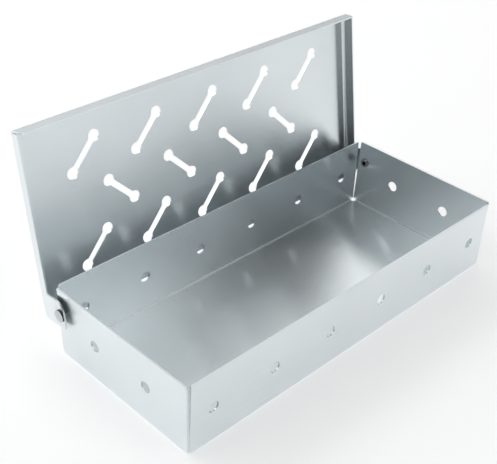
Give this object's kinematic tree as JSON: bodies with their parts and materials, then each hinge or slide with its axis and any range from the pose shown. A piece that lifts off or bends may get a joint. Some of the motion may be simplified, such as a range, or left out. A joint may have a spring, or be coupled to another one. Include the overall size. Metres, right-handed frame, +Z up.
{
  "type": "grill smoker box",
  "caption": "Shallow folded sheet-steel tray for wood chips with round wall vents and a slotted hinged lid that stands open on its rear lip.",
  "frame": {"origin": "middle of the underside of the tray's flat base", "axes": "+X to the right along the front wall and along the hinge, -Y to the front, +Z up"},
  "size_m": [0.2192, 0.1126, 0.1098],
  "materials": {
    "tray": "satin stainless steel, fine grain along the tray",
    "lid": "satin stainless steel, fine grain along the lid",
    "rivet": "smooth stainless steel"
  },
  "bodies": {
    "tray": {"tray": "tray", "rivet_left": "rivet", "rivet_right": "rivet"},
    "lid": {"lid": "lid"}
  },
  "joints": [
    {"name": "lid_hinge", "type": "hinge", "parent": "tray", "child": "lid", "pos_m": [0, 0.03885, 0.027], "axis": [1, 0, 0], "range_deg": [0, 101]}
  ]
}
